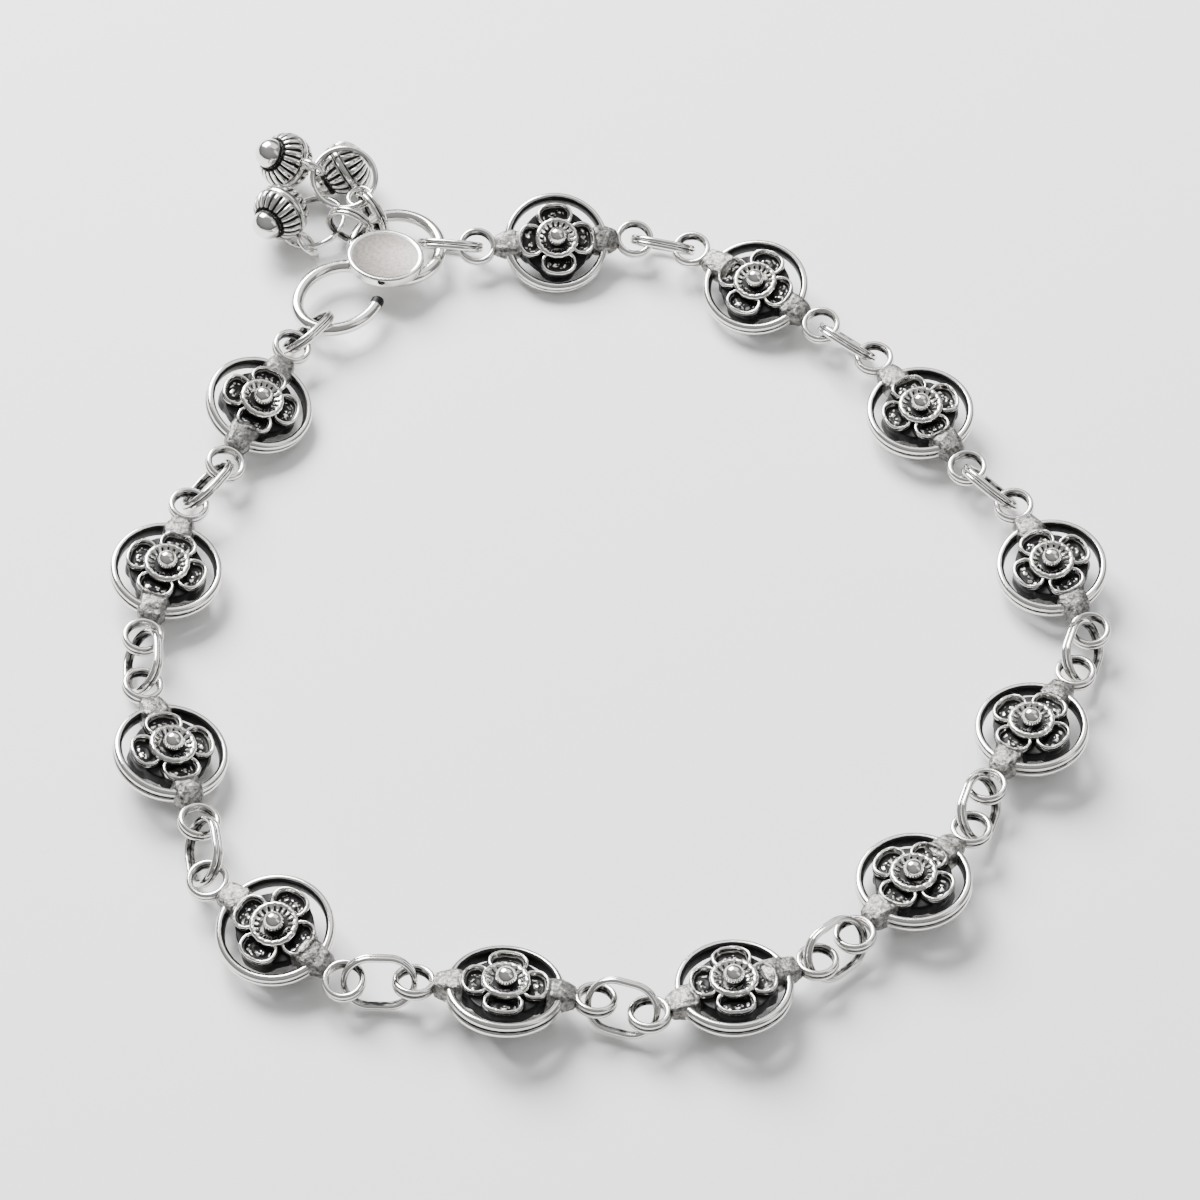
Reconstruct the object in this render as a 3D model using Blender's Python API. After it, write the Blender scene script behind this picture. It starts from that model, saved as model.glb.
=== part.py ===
# Payal anklet lying open on a flat surface: twelve pierced flower discs joined by oval links,
# closed by an S-hook with an oval tag, with three small bells hung on rings beside the tag.
# Metres, +Z up. Seen from the front, +X is right and +Y is away. The discs rest at Z = 0.

import math

import bmesh
import bpy
from mathutils import Matrix, Vector

mm = 0.001
clearance = 0.3 * mm

# Disc: a rim of two stacked wires
rim_radius = 5.0 * mm
rim_wire = 0.8 * mm
rim_height = 1.44 * mm
rim_steps = 16

# Disc: the flower on each face, with its four petals and its ball, and the web between the two
petal_reach = 3.75 * mm
petal_notch = 2.3 * mm
petal_rise = 0.8 * mm
petal_crown = 1.25 * mm
petal_spread = 27
web_reach = 3.1 * mm
web_rise = 0.4 * mm
corolla_radius = 2.0 * mm
corolla_rise = 1.5 * mm
ball_radius = 0.85 * mm
ball_lift = 0.25 * mm

# Disc: solder pads and end loops
pad_width = 2.3 * mm
pad_height = 1.9 * mm
loop_gap = 0.7 * mm
loop_radius = 1.85 * mm
loop_wire = 0.58 * mm
loop_height = 1.06 * mm
loop_steps = 10

# Oval links of doubled wire, leaning with the side toward the anklet's middle up
oval_length = 6.4 * mm
oval_width = 4.9 * mm
oval_wire = 0.55 * mm
oval_height = 0.96 * mm
oval_lean = 50
oval_drop = 0.1 * mm
oval_steps = 5

# S-hook: an open oval loop, then a closed round one, and the tag soldered over their crossing
hook_wire = 1.24 * mm
hook_half_length = 4.3 * mm
hook_half_width = 3.5 * mm
eye_radius = 4.15 * mm
hook_tip = -57
eye_tip = 142
hook_steps = 16
tag_length = 7.3 * mm
tag_width = 6.5 * mm
tag_thickness = 0.9 * mm
tag_bevel = 0.25 * mm
tag_ahead = 1.8 * mm
tag_aside = -0.6 * mm
tag_sink = 0.12 * mm
tag_heading = -5
tag_steps = 20

# Where the two end links hold the hook, as angles round its loops, and the way those links run
hook_hold = 190
eye_hold = -42
last_link_heading = 60
first_link_heading = 0

# Charm rings of doubled wire, plain hoops, and bells
ring_radius = 2.4 * mm
ring_wire = 0.5 * mm
ring_height = 0.95 * mm
ring_steps = 12
hoop_radius = 3.3 * mm
hoop_wire = 0.56 * mm
hoop_steps = 14
bell_radius = 2.75 * mm
bell_half_length = 2.2 * mm
bell_knob = 1.4 * mm
bell_eye_radius = 1.4 * mm
bell_eye_wire = 0.5 * mm
bell_sink = 0.2 * mm
bell_steps = 12

# Route of the chain, clockwise from the clasp as seen from above. A disc's place is a share of the
# pitch from disc to disc. Heading is the way the chain runs, and roll lifts the disc's outer edge.
route = [
    {"x": -0.339, "y": 2.074, "heading": 10, "roll": 20},
    {"x": 0.606, "y": 1.896, "heading": -33, "roll": 13},
    {"x": 1.384, "y": 1.217, "heading": -54, "roll": 6},
    {"x": 1.980, "y": 0.389, "heading": -63, "roll": 8},
    {"x": 1.891, "y": -0.495, "heading": -121, "roll": 9},
    {"x": 1.399, "y": -1.321, "heading": -130, "roll": 9},
    {"x": 0.675, "y": -1.907, "heading": -155, "roll": 11},
    {"x": -0.251, "y": -2.010, "heading": 179, "roll": 15},
    {"x": -1.207, "y": -1.813, "heading": 145, "roll": -8},
    {"x": -1.746, "y": -0.983, "heading": 116, "roll": 12},
    {"x": -1.891, "y": -0.029, "heading": 82, "roll": 6},
    {"x": -1.601, "y": 0.946, "heading": 73, "roll": 17},
]

# Charms: what each hangs on, the angle round that, the way it points from there, and which way
# round it hangs there. Turn is how far a bell's body is turned under its eye.
charms = [
    {"name": "charm_ring_1", "kind": "ring", "on": "hook",
     "at": 102, "heading": 166, "rise": 25, "side": 1},
    {"name": "charm_ring_2", "kind": "ring", "on": "hook",
     "at": 71, "heading": 169, "rise": 76, "side": 1},
    {"name": "bell_hoop_1", "kind": "hoop", "on": "charm_ring_1",
     "at": 55, "heading": 154, "rise": -13, "side": 1},
    {"name": "bell_hoop_2", "kind": "hoop", "on": "charm_ring_2",
     "at": 44, "heading": 145, "rise": 13, "side": 1},
    {"name": "bell_1", "kind": "bell", "on": "bell_hoop_2",
     "at": -21, "heading": 143, "rise": -26, "side": -1, "turn": 169},
    {"name": "bell_2", "kind": "bell", "on": "bell_hoop_1",
     "at": -114, "heading": 147, "rise": 36, "side": 1, "turn": 150},
    {"name": "bell_3", "kind": "bell", "on": "charm_ring_2",
     "at": 86, "heading": 116, "rise": -1, "side": 1, "turn": 165},
]

# Worked out from the sizes above
loop_middle = loop_radius - loop_wire / 2
loop_reach = rim_radius + loop_gap + loop_radius
oval_turn = (oval_width - oval_wire) / 2
oval_straight = (oval_length - oval_wire) / 2 - oval_turn
span = oval_length - 2 * oval_wire
pitch = 2 * loop_reach + span


def clearScene():
    for thing in list(bpy.data.objects):
        bpy.data.objects.remove(thing)


def silver(name, shade, roughness):
    material = bpy.data.materials.new(name)
    material.use_nodes = True
    shader = material.node_tree.nodes["Principled BSDF"]
    shader.inputs["Base Color"].default_value = (shade, shade * 0.985, shade * 0.96, 1)
    shader.inputs["Metallic"].default_value = 1
    shader.inputs["Roughness"].default_value = roughness
    return material


def addObject(name, mesh, place=None):
    thing = bpy.data.objects.new(name, mesh)
    bpy.context.collection.objects.link(thing)
    if place:
        thing.matrix_world = place
    return thing


def smooth(mesh):
    mesh.shade_smooth()
    mesh.set_sharp_from_angle(angle=math.radians(40))
    return mesh


def finish(bm, name):
    bmesh.ops.remove_doubles(bm, verts=bm.verts, dist=0.001 * mm)
    bmesh.ops.recalc_face_normals(bm, faces=bm.faces)
    mesh = bpy.data.meshes.new(name)
    bm.to_mesh(mesh)
    bm.free()
    return smooth(mesh)


def onlyCorners(geometry):
    return [part for part in geometry if isinstance(part, bmesh.types.BMVert)]


def onlyEdges(geometry):
    return [part for part in geometry if isinstance(part, bmesh.types.BMEdge)]


def addLoop(bm, points):
    corners = [bm.verts.new(point) for point in points]
    edges = [bm.edges.new((corners[k - 1], corners[k])) for k in range(len(corners))]
    return corners + edges


# Section of a doubled wire in the XZ plane, flat inside and rounded outside
def wireSection(middle, width, height):
    half, rise = width / 2, height / 2
    return [
        (middle - half, 0, rise * 0.6),
        (middle + half * 0.1, 0, rise),
        (middle + half, 0, 0),
        (middle + half * 0.1, 0, -rise),
        (middle - half, 0, -rise * 0.6),
    ]


def ringMesh(name, radius, wire, height, steps, shift=0):
    bm = bmesh.new()
    section = addLoop(bm, wireSection(radius - wire / 2, wire, height))
    bmesh.ops.spin(
        bm, geom=section, cent=(0, 0, 0), axis=(0, 0, 1), angle=math.tau, steps=steps, use_merge=True
    )
    bmesh.ops.translate(bm, verts=bm.verts, vec=(shift, 0, 0))
    return finish(bm, name)


# Oval link: half a turn round one end, a straight side, half a turn, and the other side
def ovalMesh():
    bm = bmesh.new()
    section = addLoop(bm, wireSection(oval_turn, oval_wire, oval_height))
    corners = onlyCorners(section)
    bmesh.ops.rotate(bm, verts=corners, matrix=Matrix.Rotation(-math.pi / 2, 3, "Z"))
    bmesh.ops.translate(bm, verts=corners, vec=(oval_straight, 0, 0))
    for end in (1, -1):
        centre = (end * oval_straight, 0, 0)
        turned = bmesh.ops.spin(
            bm, geom=section, cent=centre, axis=(0, 0, 1), angle=math.pi, steps=oval_steps
        )
        side = bmesh.ops.extrude_edge_only(bm, edges=onlyEdges(turned["geom_last"]))
        section = onlyCorners(side["geom"]) + onlyEdges(side["geom"])
        bmesh.ops.translate(bm, verts=onlyCorners(section), vec=(-2 * end * oval_straight, 0, 0))
    return finish(bm, "oval_link")


# Rings of the flower's upper half, from the web between the petals to the top of the ball
def flowerLevels():
    even = 15
    ball_rise = corolla_rise + ball_lift
    return [
        {"petal": petal_reach, "notch": web_reach, "spread": petal_spread, "rise": web_rise},
        {"petal": petal_reach, "notch": petal_notch, "spread": petal_spread, "rise": petal_rise},
        {"petal": petal_reach * 0.8, "notch": petal_notch * 0.87, "spread": petal_spread,
         "rise": petal_crown},
        {"petal": corolla_radius, "notch": corolla_radius, "spread": even, "rise": corolla_rise},
        {"petal": ball_radius, "notch": ball_radius, "spread": even, "rise": ball_rise},
        {"petal": ball_radius * 0.7, "notch": ball_radius * 0.7, "spread": even,
         "rise": ball_rise + ball_radius * 0.7},
        {"petal": ball_radius * 0.2, "notch": ball_radius * 0.2, "spread": even,
         "rise": ball_rise + ball_radius},
    ]


# Three points to a petal: the notch before it and its two shoulders
def flowerRing(level, side):
    points = []
    for petal in range(4):
        for turn, reach in (
            (-45, level["notch"]), (-level["spread"], level["petal"]), (level["spread"], level["petal"])
        ):
            angle = math.radians(90 * petal + turn)
            points.append((reach * math.cos(angle), reach * math.sin(angle), side * level["rise"]))
    return points


def flowerMesh():
    bm = bmesh.new()
    levels = flowerLevels()
    rings = [addLoop(bm, flowerRing(level, -1)) for level in reversed(levels)]
    rings += [addLoop(bm, flowerRing(level, 1)) for level in levels]
    for lower, upper in zip(rings, rings[1:]):
        bmesh.ops.bridge_loops(bm, edges=onlyEdges(lower) + onlyEdges(upper))
    bmesh.ops.holes_fill(bm, edges=bm.edges, sides=12)
    return finish(bm, "flower")


# Solder pad from the petal over the rim to the end loop, narrower at its outer end
def padMesh(side):
    bm = bmesh.new()
    bmesh.ops.create_cube(bm, size=1)
    inner = petal_reach * 0.85
    outer = loop_reach - loop_radius + loop_wire * 0.8
    for corner in bm.verts:
        far = corner.co.x > 0
        corner.co.x = side * (outer if far else inner)
        corner.co.y *= pad_width * (0.6 if far else 1)
        corner.co.z *= loop_height * 0.9 if far else pad_height
    return finish(bm, "pad")


# Joins overlapping meshes into one closed body, as solder does
def solder(name, meshes):
    parts = [addObject(name, mesh) for mesh in meshes]
    for extra in parts[1:]:
        join = parts[0].modifiers.new("join", "BOOLEAN")
        join.operation = "UNION"
        join.solver = "EXACT"
        join.object = extra
    graph = bpy.context.evaluated_depsgraph_get()
    mesh = bpy.data.meshes.new_from_object(parts[0].evaluated_get(graph))
    mesh.name = name
    mesh.materials.clear()
    for part in parts:
        bpy.data.objects.remove(part)
    return smooth(mesh)


def discMesh():
    meshes = [ringMesh("rim", rim_radius, rim_wire, rim_height, rim_steps), flowerMesh()]
    for side in (1, -1):
        meshes.append(padMesh(side))
        meshes.append(ringMesh("loop", loop_radius, loop_wire, loop_height, loop_steps, side * loop_reach))
    return solder("disc_link", meshes)


# Height that sets the lowest corner of a turned mesh on the surface
def restHeight(mesh, turn):
    return -min((turn @ corner.co).z for corner in mesh.vertices)


def discPlace(row, mesh):
    turn = Matrix.Rotation(math.radians(row["heading"]), 4, "Z")
    turn = turn @ Matrix.Rotation(math.radians(row["roll"]), 4, "X")
    return Matrix.Translation((row["x"] * pitch, row["y"] * pitch, restHeight(mesh, turn))) @ turn


# Frame between two points, its X along them, leaning so that its side to the chain's left is down
def leanFrame(start, end, lean):
    along = (end - start).normalized()
    across = Vector((0, 0, 1)).cross(along).normalized()
    turn = Matrix((along, across, along.cross(across))).transposed().to_4x4()
    middle = (start + end) / 2 - Vector((0, 0, oval_drop))
    return Matrix.Translation(middle) @ turn @ Matrix.Rotation(math.radians(-lean), 4, "X")


# Points on the middle of the hook's wire. The two loops meet at the origin, the open one at -X
def hookPoint(angle):
    turn = math.radians(angle)
    return Vector((hook_half_length * (math.cos(turn) - 1), hook_half_width * math.sin(turn), 0))


def eyePoint(angle):
    turn = math.radians(angle)
    return Vector((eye_radius * (1 + math.cos(turn)), eye_radius * math.sin(turn), 0))


# The S from its open tip round one loop to the crossing, and on round the other
def hookLine():
    first = (-360 - hook_tip) / hook_steps
    second = (180 + eye_tip) / hook_steps
    points = [hookPoint(hook_tip + k * first) for k in range(hook_steps)]
    return points + [eyePoint(180 + k * second) for k in range(hook_steps + 1)]


def wireMesh(points, wire):
    curve = bpy.data.curves.new("wire", "CURVE")
    curve.dimensions = "3D"
    curve.bevel_depth = wire / 2
    curve.bevel_resolution = 1
    curve.use_fill_caps = True
    line = curve.splines.new("POLY")
    line.points.add(len(points) - 1)
    for spot, point in zip(line.points, points):
        spot.co = (*point, 1)
    guide = addObject("wire", curve)
    graph = bpy.context.evaluated_depsgraph_get()
    bm = bmesh.new()
    bm.from_mesh(bpy.data.meshes.new_from_object(guide.evaluated_get(graph)))
    bpy.data.objects.remove(guide)
    return finish(bm, "wire")


def tagMesh(turn):
    bm = bmesh.new()
    bmesh.ops.create_circle(bm, cap_ends=True, radius=0.5, segments=tag_steps)
    bmesh.ops.scale(bm, verts=bm.verts, vec=(tag_length, tag_width, 1))
    raised = bmesh.ops.extrude_face_region(bm, geom=bm.faces[:])
    bmesh.ops.translate(bm, verts=onlyCorners(raised["geom"]), vec=(0, 0, tag_thickness))
    bmesh.ops.bevel(
        bm, geom=onlyEdges(raised["geom"]), offset=tag_bevel, segments=1, profile=0.5, affect="EDGES",
        material=-1,
    )
    bmesh.ops.rotate(bm, verts=bm.verts, matrix=Matrix.Rotation(turn, 3, "Z"))
    bmesh.ops.translate(bm, verts=bm.verts, vec=(tag_ahead, tag_aside, hook_wire / 2 - tag_sink))
    return finish(bm, "tag")


# Sets the hook between the two end loops, level, at the height where its links clear the surface
def hookPlace(last_loop, first_loop):
    level = oval_turn * math.sin(math.radians(oval_lean)) + oval_height / 2 + oval_drop
    reach = span - loop_middle
    anchors = []
    for loop, heading, way in ((last_loop, last_link_heading, 1), (first_loop, first_link_heading, -1)):
        turn = math.radians(heading)
        step = Vector((math.cos(turn), math.sin(turn), 0)) * reach * way
        anchors.append(Vector((loop.x + step.x, loop.y + step.y, level)))
    chord = eyePoint(eye_hold) - hookPoint(hook_hold)
    gap = anchors[1] - anchors[0]
    heading = math.atan2(gap.y, gap.x) - math.atan2(chord.y, chord.x)
    turn = Matrix.Rotation(heading, 4, "Z")
    held = (eyePoint(eye_hold) + hookPoint(hook_hold)) / 2
    return Matrix.Translation((anchors[0] + anchors[1]) / 2 - turn @ held) @ turn, heading


# Bell with its eye at the origin and its round body further along +X. The body is turned round
# its own axis, square to X, with a flat end and a smooth ball on the other.
def bellMesh(turn):
    profile = [
        (-bell_half_length, 0),
        (-bell_half_length, bell_radius * 0.45),
        (-bell_half_length * 0.75, bell_radius * 0.82),
        (-bell_half_length * 0.3, bell_radius),
        (bell_half_length * 0.3, bell_radius),
        (bell_half_length * 0.75, bell_radius * 0.82),
        (bell_half_length * 0.95, bell_knob * 0.95),
        (bell_half_length + bell_knob * 0.35, bell_knob),
        (bell_half_length + bell_knob * 0.8, bell_knob * 0.75),
        (bell_half_length + bell_knob, 0),
    ]
    bm = bmesh.new()
    corners = [bm.verts.new((radius, 0, along)) for along, radius in profile]
    edges = [bm.edges.new(pair) for pair in zip(corners, corners[1:])]
    bmesh.ops.spin(
        bm, geom=corners + edges, cent=(0, 0, 0), axis=(0, 0, 1), angle=math.tau, steps=bell_steps,
        use_merge=True,
    )
    tilt = Matrix.Rotation(math.radians(turn - 90), 3, "X")
    bmesh.ops.rotate(bm, verts=bm.verts, matrix=tilt)
    bmesh.ops.translate(bm, verts=bm.verts, vec=(bell_eye_radius + bell_radius - bell_sink, 0, 0))
    eye = ringMesh("eye", bell_eye_radius, bell_eye_wire, bell_eye_wire, loop_steps)
    return solder("bell", [finish(bm, "body"), eye])


# Frame of a hung ring or bell: the wire that it hangs on runs through its hole along the tangent
def hangFrame(place, tangent, row, inside):
    heading, rise = math.radians(row["heading"]), math.radians(row["rise"])
    level = Vector((math.cos(heading), math.sin(heading), 0))
    along = level * math.cos(rise) + Vector((0, 0, math.sin(rise)))
    normal = (tangent - tangent.dot(along) * along).normalized()
    turn = Matrix((along, normal.cross(along), normal)).transposed().to_4x4()
    return Matrix.Translation(place + along * inside) @ turn


def addDiscs(material):
    mesh = discMesh()
    mesh.materials.append(material)
    loops = []
    for number, row in enumerate(route, 1):
        place = discPlace(row, mesh)
        addObject(f"disc_link_{number:02d}", mesh, place)
        loops.append([place @ Vector((side * loop_reach, 0, 0)) for side in (-1, 1)])
    return loops


def addHook(material, loops):
    place, heading = hookPlace(loops[-1][1], loops[0][0])
    tag = tagMesh(math.radians(tag_heading) - heading)
    mesh = solder("s_hook", [wireMesh(hookLine(), hook_wire), tag])
    mesh.materials.append(material)
    addObject("s_hook_clasp", mesh, place)
    return place


# Oval links from loop to loop, then from the two end loops to the hook's wire. Beside a disc that
# rolls the other way the oval leans further, to stay clear of its loop.
def addOvals(material, loops, hook):
    mesh = ovalMesh()
    mesh.materials.append(material)
    links = []
    for before, after, row, following in zip(loops, loops[1:], route, route[1:]):
        links.append((before[1], after[0], oval_lean - min(0, row["roll"], following["roll"])))
    last, first = loops[-1][1], loops[0][0]
    held = hook @ hookPoint(hook_hold)
    links.append((last, held + (held - last).normalized() * loop_middle, oval_lean))
    held = hook @ eyePoint(eye_hold)
    links.append((held + (held - first).normalized() * loop_middle, first, oval_lean))
    for number, (start, end, lean) in enumerate(links, 1):
        addObject(f"oval_link_{number:02d}", mesh, leanFrame(start, end, lean))


def addCharms(ring_material, bell_material, hook):
    kinds = {
        "ring": {"radius": ring_radius, "wire": ring_wire, "height": ring_height, "steps": ring_steps},
        "hoop": {"radius": hoop_radius, "wire": hoop_wire, "height": hoop_wire, "steps": hoop_steps},
        "bell": {"radius": bell_eye_radius, "wire": bell_eye_wire},
    }
    hung = {"hook": {"place": hook, "centre": eye_radius, "middle": eye_radius, "wire": hook_wire}}
    for row in charms:
        kind, carrier = kinds[row["kind"]], hung[row["on"]]
        turn = math.radians(row["at"])
        spot = Vector((carrier["centre"] + carrier["middle"] * math.cos(turn),
                       carrier["middle"] * math.sin(turn), 0))
        tangent = carrier["place"].to_3x3() @ Vector((-math.sin(turn), math.cos(turn), 0)) * row["side"]
        inside = kind["radius"] - kind["wire"] - carrier["wire"] / 2 - clearance
        place = hangFrame(carrier["place"] @ spot, tangent, row, inside)
        middle = kind["radius"] - kind["wire"] / 2
        hung[row["name"]] = {"place": place, "centre": 0, "middle": middle, "wire": kind["wire"]}
        if row["kind"] == "bell":
            mesh = bellMesh(row["turn"])
        else:
            mesh = ringMesh(row["kind"], kind["radius"], kind["wire"], kind["height"], kind["steps"])
        mesh.materials.append(bell_material if row["kind"] == "bell" else ring_material)
        addObject(row["name"], mesh, place)


# Moves everything sideways so that the middle of the whole is over the origin
def centreAll():
    bpy.context.view_layer.update()
    things = bpy.data.objects
    corners = [thing.matrix_world @ corner.co for thing in things for corner in thing.data.vertices]
    for axis in (0, 1):
        middle = (min(corner[axis] for corner in corners) + max(corner[axis] for corner in corners)) / 2
        for thing in things:
            thing.location[axis] -= middle


def build():
    clearScene()
    loops = addDiscs(silver("disc_silver", 0.72, 0.34))
    hook = addHook(silver("hook_silver", 0.84, 0.2), loops)
    link_silver = silver("link_silver", 0.86, 0.16)
    addOvals(link_silver, loops, hook)
    addCharms(link_silver, silver("bell_silver", 0.74, 0.26), hook)
    centreAll()


build()
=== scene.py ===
# Payal anklet of oxidised silver, lying open: pierced flower discs joined by oval links, an S-hook
# with an oval tag, and three ribbed bells. Local shapes are in millimetres, x along the chain.

import math

import bmesh
import bpy
from mathutils import Matrix, Vector, noise
from mathutils.bvhtree import BVHTree


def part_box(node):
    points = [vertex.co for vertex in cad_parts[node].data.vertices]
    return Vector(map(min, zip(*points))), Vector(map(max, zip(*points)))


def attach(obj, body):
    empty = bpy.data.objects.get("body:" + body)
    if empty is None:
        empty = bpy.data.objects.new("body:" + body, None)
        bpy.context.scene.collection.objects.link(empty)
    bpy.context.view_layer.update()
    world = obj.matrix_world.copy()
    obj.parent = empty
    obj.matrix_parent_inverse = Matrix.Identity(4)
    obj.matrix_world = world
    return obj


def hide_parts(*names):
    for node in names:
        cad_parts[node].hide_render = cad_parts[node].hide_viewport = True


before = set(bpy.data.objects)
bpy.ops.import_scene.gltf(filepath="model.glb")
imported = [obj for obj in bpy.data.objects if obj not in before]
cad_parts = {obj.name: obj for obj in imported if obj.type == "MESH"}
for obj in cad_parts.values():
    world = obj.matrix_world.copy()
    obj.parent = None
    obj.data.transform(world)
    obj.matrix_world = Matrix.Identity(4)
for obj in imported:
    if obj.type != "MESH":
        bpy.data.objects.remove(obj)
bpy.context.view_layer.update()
metres = Matrix.Scale(0.001, 4)

# The chain's run: heading is the way it goes at each disc, roll lifts the outer edge, twist turns
# the flower on its disc, and pads is how near the middle the solder comes, after and before it
route = [
    {"heading": 10, "roll": 20, "twist": 0, "pads": (3.3, 3.3)},
    {"heading": -33, "roll": 13, "twist": 8, "pads": (3.3, 2.7)},
    {"heading": -54, "roll": 6, "twist": -9, "pads": (3.1, 3.1)},
    {"heading": -63, "roll": 8, "twist": 6, "pads": (3.3, 3.3)},
    {"heading": -121, "roll": 9, "twist": -9, "pads": (3.1, 3.1)},
    {"heading": -130, "roll": 9, "twist": 8, "pads": (3.3, 2.7)},
    {"heading": -155, "roll": 11, "twist": -18, "pads": (3.2, 2.3)},
    {"heading": 179, "roll": 15, "twist": 0, "pads": (3.3, 3.3)},
    {"heading": 145, "roll": -8, "twist": 8, "pads": (3.3, 2.7)},
    {"heading": 116, "roll": 12, "twist": 0, "pads": (3.3, 3.3)},
    {"heading": 82, "roll": 6, "twist": -9, "pads": (3.1, 3.1)},
    {"heading": 73, "roll": 17, "twist": 8, "pads": (3.3, 2.7)},
]

charms = [
    {"name": "charm_ring_1", "kind": "ring", "on": "hook",
     "at": 102, "heading": 166, "rise": 25, "side": 1},
    {"name": "charm_ring_2", "kind": "ring", "on": "hook",
     "at": 71, "heading": 169, "rise": 76, "side": 1},
    {"name": "bell_hoop_1", "kind": "hoop", "on": "charm_ring_1",
     "at": 55, "heading": 154, "rise": -13, "side": 1},
    {"name": "bell_hoop_2", "kind": "hoop", "on": "charm_ring_2",
     "at": 44, "heading": 145, "rise": 13, "side": 1},
    {"name": "bell_1", "kind": "bell", "on": "bell_hoop_2",
     "at": -21, "heading": 143, "rise": -26, "side": -1, "turn": 169},
    {"name": "bell_2", "kind": "bell", "on": "bell_hoop_1",
     "at": -114, "heading": 147, "rise": 36, "side": 1, "turn": 150},
    {"name": "bell_3", "kind": "bell", "on": "charm_ring_2",
     "at": 86, "heading": 116, "rise": -1, "side": 1, "turn": 165},
]

rim = {"radius": 5.0, "wire": 0.74, "height": 1.44, "steps": 96}
loops = {"radius": 1.85, "wire": 0.56, "height": 1.06, "reach": 7.55, "steps": 40}
ovals = {
    "length": 6.4, "width": 4.9, "wire": 0.52, "height": 0.96, "lean": 50, "drop": 0.1, "steps": 20,
}
rings = {"radius": 2.4, "wire": 0.5, "height": 0.95, "steps": 48}
hoops = {"radius": 3.3, "wire": 0.56, "steps": 72}
hook = {
    "wire": 1.24, "halfLength": 4.3, "halfWidth": 3.5, "eye": 4.15, "tip": -57, "eyeTip": 142,
    "hold": 190, "eyeHold": -42, "lastHeading": 60, "firstHeading": 0, "steps": 60, "endRound": 0.18,
}
tag = {
    "length": 7.3, "width": 6.5, "thickness": 0.9, "ahead": 1.8, "aside": -0.6, "sink": 0.12,
    "heading": -5, "edge": 0.2, "lip": 0.24, "step": 0.1, "recess": 0.07, "sharp": 35, "steps": 96,
}
tagLevel = hook["wire"] / 2 - tag["sink"]
bells = {
    "radius": 2.75, "half": 2.2, "ball": 1.45, "ballHeight": 2.15, "eye": 1.4, "eyeWire": 0.5,
    "eyeSteps": 40, "foot": 0.62, "sink": 0.2, "ribs": 20, "ribDepth": 0.24, "band": 0.3,
    "besideDepth": 0.14,
}

# Room between a ring and the wire that it hangs on
clearance = 0.3

# Wires of the solids, from which the places of the ovals and the hook are worked out
solidWires = {"loops": 0.58, "ovals": 0.55}
loopMiddle = loops["radius"] - solidWires["loops"] / 2


def say(text):
    print("payal:", text)


# Layout

def boxMiddle(node):
    low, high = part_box(node)
    return (low + high) / 2 * 1000


def discPlace(row, node):
    turn = Matrix.Rotation(math.radians(row["heading"]), 4, "Z")
    turn = turn @ Matrix.Rotation(math.radians(row["roll"]), 4, "X")
    return Matrix.Translation(boxMiddle(node)) @ turn


def leanFrame(start, end, lean):
    along = (end - start).normalized()
    across = Vector((0, 0, 1)).cross(along).normalized()
    turn = Matrix((along, across, along.cross(across))).transposed().to_4x4()
    middle = (start + end) / 2 - Vector((0, 0, ovals["drop"]))
    return Matrix.Translation(middle) @ turn @ Matrix.Rotation(math.radians(-lean), 4, "X")


def hookPoint(angle):
    turn = math.radians(angle)
    along = hook["halfLength"] * (math.cos(turn) - 1)
    return Vector((along, hook["halfWidth"] * math.sin(turn), 0))


def eyePoint(angle):
    turn = math.radians(angle)
    return Vector((hook["eye"] * (1 + math.cos(turn)), hook["eye"] * math.sin(turn), 0))


def hookPlace(lastLoop, firstLoop):
    ovalTurn = (ovals["width"] - solidWires["ovals"]) / 2
    level = ovalTurn * math.sin(math.radians(ovals["lean"])) + ovals["height"] / 2 + ovals["drop"]
    reach = ovals["length"] - 2 * solidWires["ovals"] - loopMiddle
    ways = ((lastLoop, hook["lastHeading"], 1), (firstLoop, hook["firstHeading"], -1))
    anchors = []
    for loop, heading, way in ways:
        turn = math.radians(heading)
        step = Vector((math.cos(turn), math.sin(turn), 0)) * reach * way
        anchors.append(Vector((loop.x + step.x, loop.y + step.y, level)))
    chord = eyePoint(hook["eyeHold"]) - hookPoint(hook["hold"])
    gap = anchors[1] - anchors[0]
    heading = math.atan2(gap.y, gap.x) - math.atan2(chord.y, chord.x)
    turn = Matrix.Rotation(heading, 4, "Z")
    held = (eyePoint(hook["eyeHold"]) + hookPoint(hook["hold"])) / 2
    return Matrix.Translation((anchors[0] + anchors[1]) / 2 - turn @ held) @ turn, heading


def ovalPlaces(ends, clasp):
    places = []
    for before, after, row, following in zip(ends, ends[1:], route, route[1:]):
        lean = ovals["lean"] - min(0, row["roll"], following["roll"])
        places.append(leanFrame(before[1], after[0], lean))
    last, first = ends[-1][1], ends[0][0]
    held = clasp @ hookPoint(hook["hold"])
    places.append(leanFrame(last, held + (held - last).normalized() * loopMiddle, ovals["lean"]))
    held = clasp @ eyePoint(hook["eyeHold"])
    places.append(leanFrame(held + (held - first).normalized() * loopMiddle, first, ovals["lean"]))
    return places


def hangFrame(spot, tangent, row, inside):
    heading, rise = math.radians(row["heading"]), math.radians(row["rise"])
    level = math.cos(rise)
    along = Vector((math.cos(heading) * level, math.sin(heading) * level, math.sin(rise)))
    normal = (tangent - tangent.dot(along) * along).normalized()
    turn = Matrix((along, normal.cross(along), normal)).transposed().to_4x4()
    return Matrix.Translation(spot + along * inside) @ turn


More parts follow.
